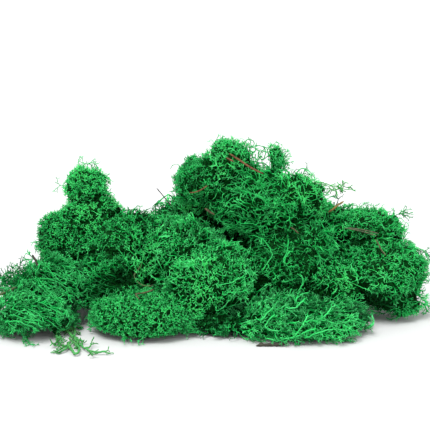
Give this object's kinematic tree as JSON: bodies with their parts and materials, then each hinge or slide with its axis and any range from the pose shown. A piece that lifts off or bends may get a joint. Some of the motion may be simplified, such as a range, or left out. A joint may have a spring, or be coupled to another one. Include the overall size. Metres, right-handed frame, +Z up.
{
  "type": "reindeer moss clump",
  "caption": "Loose heap of preserved, green-dyed reindeer lichen tufts with pine needles and bark caught in it, lying flat on a surface as filler or decoration.",
  "frame": {"origin": "middle of the heap's bounding box seen from above, on the surface the heap lies on", "axes": "+X along the heap's length, to the right when seen from the front; +Y towards its back; +Z up"},
  "size_m": [0.308, 0.1806, 0.1274],
  "materials": {
    "moss_bright": "dull, springy lichen branches dyed bright green, palest at the tips",
    "moss_leaf": "dull, springy lichen branches dyed green",
    "moss_deep": "dull lichen branches dyed a deeper green, matted and older",
    "moss_pale": "loose sprigs whose bare stems took less dye, pale yellow-green",
    "needle": "dry pine needles and twigs, red-brown, slightly glossy",
    "bark": "weathered needles, twigs and bark, grey-brown to almost black, matt"
  },
  "bodies": {
    "root": {"front_left_cushion": "moss_bright", "front_right_mat": "moss_bright", "front_middle_tuft": "moss_deep", "left_front_mat": "moss_leaf", "right_foot_tuft": "moss_leaf", "centre_low_dome": "moss_bright", "right_middle_tuft": "moss_leaf", "centre_high_dome": "moss_bright", "left_hollow_tuft": "moss_deep", "left_back_mat": "moss_leaf", "left_edge_tuft": "moss_deep", "right_hollow_tuft": "moss_deep", "right_cushion": "moss_leaf", "left_outer_cushion": "moss_leaf", "left_inner_cushion": "moss_leaf", "tower_neck": "moss_leaf", "tower_head": "moss_leaf", "saddle_tuft": "moss_deep", "summit_peak": "moss_bright", "summit_left_head": "moss_leaf", "summit_right_lace": "moss_leaf", "summit_knob": "moss_leaf", "shoulder_tuft": "moss_deep", "ridge_tuft": "moss_leaf", "right_crest_cushion": "moss_leaf", "trailing_sprig": "moss_pale", "stray_ridge_sprig": "moss_pale", "stray_crest_sprig": "moss_leaf", "back_left_tuft": "moss_leaf", "back_middle_tuft": "moss_leaf", "back_right_tuft": "moss_leaf", "back_summit_tuft": "moss_leaf", "back_foot_left": "moss_deep", "back_foot_right": "moss_deep", "summit_needle": "needle", "summit_needle_stub": "needle", "head_needle": "needle", "head_flake": "needle", "saddle_needle": "bark", "ridge_twig": "needle", "crest_needle_upper": "bark", "crest_needle_lower": "bark", "cushion_needle": "needle", "shoulder_needle": "bark", "curled_twig": "needle", "bent_needle": "needle", "ground_bark": "bark", "edge_twig": "bark", "edge_bark_chip": "bark"}
  },
  "joints": []
}
